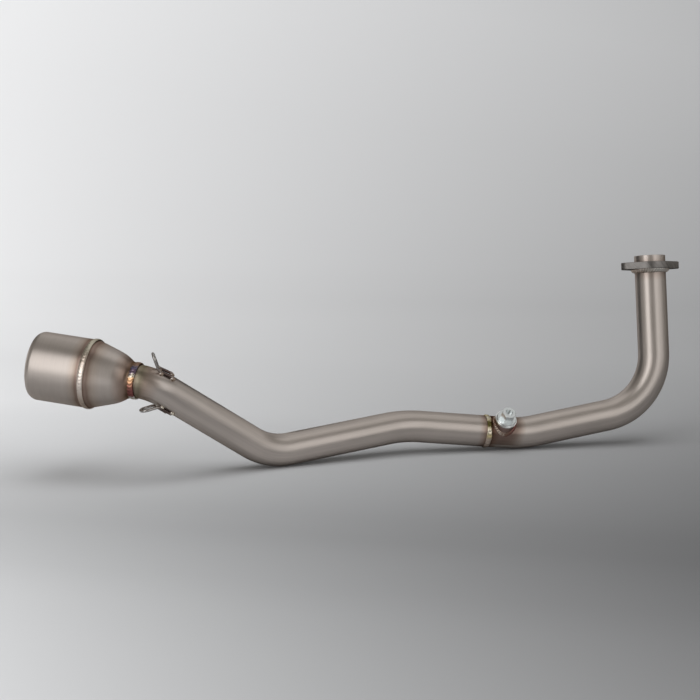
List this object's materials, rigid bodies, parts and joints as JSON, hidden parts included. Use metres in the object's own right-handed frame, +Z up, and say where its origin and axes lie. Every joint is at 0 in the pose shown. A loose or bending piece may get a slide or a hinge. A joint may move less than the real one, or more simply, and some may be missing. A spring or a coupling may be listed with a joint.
{
  "type": "exhaust header pipe",
  "caption": "Bent steel exhaust header with a two-stud port flange, a plugged sensor boss, spring hooks, a bell reducer and an outlet sleeve.",
  "frame": {"origin": "centre of the port flange's face that looks at the engine, on the tube's axis", "axes": "+X along the header towards the port and through both stud holes, +Z up, +Y to the far side"},
  "size_m": [0.7434, 0.1489, 0.2128],
  "materials": {
    "sleeve_steel": "brushed round, heat-tinted at the weld",
    "reducer_steel": "brushed round, heat-tinted at both welds",
    "tube_steel": "brushed along the tube, heat-tinted at the welds",
    "flange_steel": "sawn and brushed, darker than the tube",
    "weld_metal": "rippled weld, straw to violet",
    "boss_steel": "turned, heat-tinted red-brown",
    "plug_zinc": "bright zinc plate",
    "washer_steel": "bright, plain",
    "hook_wire": "drawn wire, dulled by heat"
  },
  "bodies": {
    "root": {"outlet_sleeve": "sleeve_steel", "sleeve_weld": "weld_metal", "reducer_cone": "reducer_steel", "cone_weld": "weld_metal", "rear_tube": "tube_steel", "tube_weld": "weld_metal", "front_tube": "tube_steel", "port_flange": "flange_steel", "flange_weld": "weld_metal", "sensor_boss": "boss_steel", "boss_weld": "weld_metal", "sealing_washer": "washer_steel", "sensor_plug": "plug_zinc", "upper_spring_hook": "hook_wire", "lower_spring_hook": "hook_wire", "upper_hook_tacks": "weld_metal", "lower_hook_tacks": "weld_metal"}
  },
  "joints": []
}
